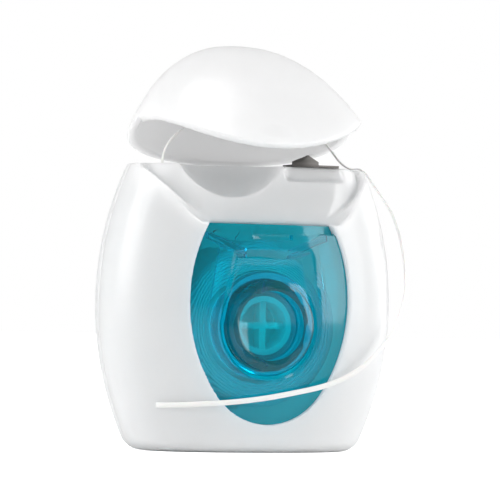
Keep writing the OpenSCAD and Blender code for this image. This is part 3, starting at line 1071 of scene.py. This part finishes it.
def sweep(
    name: str,
    path: Sequence[Vector],
    turns: Sequence[float],
    width: float,
    thickness: float,
    sides: int,
) -> bpy.types.Object:
    """Sweep a flattened round section along a path, with its length along U.

    Args:
        name: Name of the object.
        path: Points of the centreline.
        turns: How far the flat is turned at each point, in degrees.
        width: Width of the section.
        thickness: Thickness of the section.
        sides: Corners of the section.

    Returns:
        A closed tube.
    """
    mesh = bpy.data.meshes.new(name)
    shape = bmesh.new()
    last = len(path) - 1
    rows = []
    for i, point in enumerate(path):
        ahead = (path[min(i + 1, last)] - path[max(i - 1, 0)]).normalized()
        level = ahead.cross(Vector((0, 1, 0)).cross(ahead)).normalized()
        rise = ahead.cross(level)
        angle = math.radians(turns[i])
        wide = level * math.cos(angle) + rise * math.sin(angle)
        thick = ahead.cross(wide)
        row = []
        for k in range(sides):
            a = 2 * math.pi * (k + 0.5) / sides
            sideways = wide * (math.cos(a) * width / 2)
            row.append(shape.verts.new(point + sideways + thick * (math.sin(a) * thickness / 2)))
        rows.append(row)
    uv = shape.loops.layers.uv.new("UVMap")
    gone = 0.0
    for i in range(last):
        step = (path[i + 1] - path[i]).length
        for k in range(sides):
            after = (k + 1) % sides
            face = shape.faces.new((rows[i][k], rows[i][after], rows[i + 1][after], rows[i + 1][k]))
            face.smooth = True
            for loop, (along, across) in zip(face.loops, ((0, k), (0, k + 1), (1, k + 1), (1, k))):
                loop[uv].uv = ((gone + along * step) / TEXTURE_LENGTH, across / sides)
        gone += step
    shape.faces.new(list(reversed(rows[0])))
    shape.faces.new(rows[-1])
    bmesh.ops.recalc_face_normals(shape, faces=shape.faces)
    shape.to_mesh(mesh)
    shape.free()
    obj = bpy.data.objects.new(name, mesh)
    bpy.context.collection.objects.link(obj)
    return obj


def curve_through(route: Sequence[Sequence[float]], count: int) -> list[Vector]:
    """Points of a smooth curve through a route.

    Args:
        route: The route's points, in millimetres, each with the turn of the flat.
        count: Steps between neighbours.

    Returns:
        Points with four values: place in metres and turn in degrees.
    """
    points = [Vector((x * MM, y * MM, z * MM, turn)) for x, y, z, turn in route]
    last = len(points) - 1
    out = []
    for i in range(last):
        a, b, c, d = points[max(i - 1, 0)], points[i], points[i + 1], points[min(i + 2, last)]
        for k in range(count):
            t = k / count
            square = (2 * a - 5 * b + 4 * c - d) * t * t
            cube = (3 * b - a - 3 * c + d) * t * t * t
            out.append((2 * b + (c - a) * t + square + cube) / 2)
    out.append(points[last])
    return out


@dataclass
class FreeStrand:
    """The drawn-off floss, from the outlet in the deck to its cut end, and its stretch inside."""

    palette: Palette
    width: float = 0.9 * MM
    thickness: float = 0.26 * MM
    steps: int = 6
    # Route of the free strand: place in millimetres and turn of the flat in degrees
    tail: tuple[tuple[float, float, float, float], ...] = (
        (-15.4, -1, 47.5, 0), (-15.3, -1, 48.8, 0), (-14.7, -1, 50.5, 0), (-13.4, -1, 52.2, 0),
        (-11.4, -1, 53.7, 0), (-8.5, -1, 54.9, 0), (-4.6, -1, 55.7, 0), (-0.2, -1, 56, 0),
        (4.5, -1, 55.8, 0), (9, -1, 54.8, 0), (12.5, -1, 53.1, 0), (14.8, -1, 51, 0),
        (16.6, -1.1, 48.9, 0), (18.4, -1.2, 47.8, 0), (20.2, -1.4, 47.75, 0), (21.6, -1.7, 46.6, 0),
        (22.6, -2.1, 45, 0), (23.8, -2.8, 43.1, 0), (25.2, -4, 40.3, 0), (26, -5.4, 36.7, 0),
        (26.2, -6.8, 33.1, 10), (26, -8.1, 29.6, 20), (25.3, -9.4, 26.4, 30), (24, -10.6, 23.3, 40),
        (22.3, -11.5, 20.1, 50), (19.6, -12.2, 17.2, 60), (16.8, -12.7, 14.7, 70), (13.4, -13.1, 12.7, 80),
        (9.3, -13.3, 11.2, 90), (4.3, -13.4, 10.1, 90), (-1.4, -13.5, 9.1, 90), (-7.2, -13.1, 8.4, 90),
        (-12.5, -12, 8, 90), (-16.2, -10.5, 7.8, 90), (-18.6, -9, 7.7, 90),
    )
    feed: tuple[tuple[float, float, float, float], ...] = (
        (-14.4, -1, 21, 0), (-14.4, -1, 25, 0), (-14.6, -1, 31, 0), (-14.9, -1, 37, 0), (-15.3, -1, 43, 0),
        (-15.4, -1, 47.5, 0),
    )

    def strand(self, name: str, route: Sequence[Sequence[float]]) -> tuple[bpy.types.Object, list[Vector]]:
        """Build one stretch of the strand.

        Args:
            name: Name of the object.
            route: Its route.

        Returns:
            The stretch and the points of its centreline.
        """
        smooth_route = curve_through(route, self.steps)
        path = [p.xyz for p in smooth_route]
        return sweep(name, path, [p.w for p in smooth_route], self.width, self.thickness, 12), path

    def build(self) -> None:
        """Make and dress the free strand and the stretch inside the case."""
        inside, _ = self.strand("inner_strand", self.feed)
        dress(inside, self.palette.floss, "case", ["floss_feed"])
        free, path = self.strand("free_strand", self.tail)
        dress(free, self.palette.floss, "case", ["floss_tail"])


@dataclass
class Cutter:
    """The pressed plate with its bent-up tooth."""

    palette: Palette
    left: float = 5.2 * MM
    width: float = 8.4 * MM
    front: float = -7.86 * MM
    depth: float = 4.4 * MM
    sheet: float = 0.4 * MM
    tooth_width: float = 4.7 * MM
    tooth: float = 2 * MM
    shoulder: float = 0.9 * MM
    tip_place: float = 0.58
    tip_radius: float = 0.5 * MM
    edge: float = 0.06 * MM

    def build(self) -> None:
        """Make and dress the cutter."""
        low = FORM.deck
        obj = block(
            "cutter_plate",
            (self.left, self.front, low),
            (self.left + self.width, self.front + self.depth, low + self.sheet),
        )
        right = self.left + self.tooth_width
        top = low + self.shoulder
        tip_x = self.left + self.tooth_width * self.tip_place
        peak = arc(tip_x, low + self.tooth - self.tip_radius, self.tip_radius, 40, 140, 6)
        outline = [(self.left, low), (right, low), (right, top), *peak, (self.left, top)]
        combine(obj, prism("tooth", outline, self.front, self.front + self.sheet), Cut.JOIN)
        soften(obj, self.edge)
        smooth(obj)
        dress(obj, self.palette.steel, "case", ["cutter"])


@dataclass(frozen=True)
class Lamp:
    """A soft square lamp: its place, the length of its sides and its power in watts."""

    name: str
    place: tuple[float, float, float]
    size: float
    power: float


LAMPS = (
    Lamp("key", (0.42, -0.34, 0.12), 0.35, 1.5),
    Lamp("fill", (-0.5, -0.02, 0.2), 0.35, 1.5),
    Lamp("top", (-0.05, -0.1, 0.6), 0.3, 1.1),
    Lamp("side", (0.5, 0.09, 0.15), 0.3, 0.7),
)


@dataclass
class Studio:
    """The floor, the lamps, the world and the camera at the photograph's angle."""

    azimuth: float = -21.8
    distance: float = 0.55
    height: float = 0.024
    lens: float = 235.84
    roll: float = 1.165
    target: tuple[float, float, float] = (0.000865, -0.000346, 0.03359)
    world_light: float = 0.52
    dim_light: float = 0.15
    dim_side: tuple[float, float, float] = (-0.1, -0.95, -0.3)
    floor_glow: float = 0.8
    floor_size: float = 4
    sensor: float = 36
    nearest: float = 0.01
    dim_from: float = 0.5
    dim_full: float = 0.95
    lamp_target: tuple[float, float, float] = (0, 0, 0.035)

    def camera(self) -> None:
        """Set the camera."""
        angle = math.radians(self.azimuth)
        place = Vector((math.sin(angle) * self.distance, -math.cos(angle) * self.distance, self.height))
        look = (Vector(self.target) - place).to_track_quat("-Z", "Y").to_matrix().to_4x4()
        deselect()
        bpy.ops.object.camera_add()
        cam = bpy.context.object
        cam.matrix_world = Matrix.Translation(place) @ look @ Matrix.Rotation(math.radians(self.roll), 4, "Z")
        cam.data.lens = self.lens
        cam.data.sensor_width = self.sensor
        cam.data.clip_start = self.nearest
        bpy.context.scene.camera = cam

    def floor(self) -> None:
        """Add the pale floor: white to the camera, except in the object's shadow."""
        deselect()
        bpy.ops.mesh.primitive_plane_add(size=self.floor_size)
        obj = name_new("floor")
        material = bpy.data.materials.new("pale_floor")
        material.use_nodes = True
        tree = material.node_tree
        matt = tree.nodes["Principled BSDF"]
        matt.inputs["Base Color"].default_value = (0.9, 0.9, 0.9, 1)
        matt.inputs["Roughness"].default_value = 0.9
        glow = tree.nodes.new("ShaderNodeEmission")
        path = tree.nodes.new("ShaderNodeLightPath")
        share = tree.nodes.new("ShaderNodeMath")
        share.operation = "MULTIPLY"
        share.inputs[1].default_value = self.floor_glow
        both = tree.nodes.new("ShaderNodeAddShader")
        tree.links.new(path.outputs["Is Camera Ray"], share.inputs[0])
        tree.links.new(share.outputs["Value"], glow.inputs["Strength"])
        tree.links.new(matt.outputs["BSDF"], both.inputs[0])
        tree.links.new(glow.outputs["Emission"], both.inputs[1])
        tree.links.new(both.outputs["Shader"], tree.nodes["Material Output"].inputs["Surface"])
        obj.data.materials.append(material)

    def world(self) -> None:
        """Light the scene softly, less from the low front, with a white background."""
        world = bpy.data.worlds.new("studio")
        bpy.context.scene.world = world
        world.use_nodes = True
        tree = world.node_tree
        background = tree.nodes["Background"]
        background.inputs["Color"].default_value = (1, 1, 1, 1)
        direction = tree.nodes.new("ShaderNodeTexCoord")
        towards = tree.nodes.new("ShaderNodeVectorMath")
        towards.operation = "DOT_PRODUCT"
        towards.inputs[1].default_value = Vector(self.dim_side).normalized()
        dim = tree.nodes.new("ShaderNodeMapRange")
        dim.inputs["From Min"].default_value = self.dim_from
        dim.inputs["From Max"].default_value = self.dim_full
        dim.inputs["To Min"].default_value = self.world_light
        dim.inputs["To Max"].default_value = self.dim_light
        path = tree.nodes.new("ShaderNodeLightPath")
        strength = tree.nodes.new("ShaderNodeMapRange")
        strength.inputs["To Max"].default_value = 1.0
        tree.links.new(direction.outputs["Generated"], towards.inputs[0])
        tree.links.new(towards.outputs["Value"], dim.inputs["Value"])
        tree.links.new(dim.outputs["Result"], strength.inputs["To Min"])
        tree.links.new(path.outputs["Is Camera Ray"], strength.inputs["Value"])
        tree.links.new(strength.outputs["Result"], background.inputs["Strength"])

    def hang(self, lamp: Lamp) -> None:
        """Hang a lamp so that it faces the object."""
        data = bpy.data.lights.new(lamp.name, "AREA")
        data.shape = "SQUARE"
        data.size = lamp.size
        data.energy = lamp.power
        obj = bpy.data.objects.new(lamp.name, data)
        bpy.context.collection.objects.link(obj)
        obj.location = lamp.place
        towards = Vector(self.lamp_target) - Vector(lamp.place)
        obj.rotation_euler = towards.to_track_quat("-Z", "Y").to_euler()

    def build(self) -> None:
        """Set the stage."""
        scene = bpy.context.scene
        scene.view_settings.view_transform = "Standard"
        self.camera()
        self.floor()
        self.world()
        for lamp in LAMPS:
            self.hang(lamp)


def finish_nodes(palette: Palette) -> None:
    """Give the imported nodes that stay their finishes."""
    for name, material in (("living_hinge", palette.white), ("spool_core", palette.natural)):
        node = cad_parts[name]
        node.data.materials.clear()
        node.data.materials.append(material)


def main() -> None:
    """Build the dispenser, dress it and set the stage."""
    logging.basicConfig(level=logging.INFO, format="%(name)s: %(message)s")
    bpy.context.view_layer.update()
    Studio().build()
    palette = Palette()
    FreeStrand(palette).build()
    insert = WindowInsert(palette)
    Case(palette).build(insert.outline)
    insert.build()
    Lid(palette).build()
    Spool(palette).build()
    Cutter(palette).build()
    finish_nodes(palette)


if __name__ == "__main__":
    main()
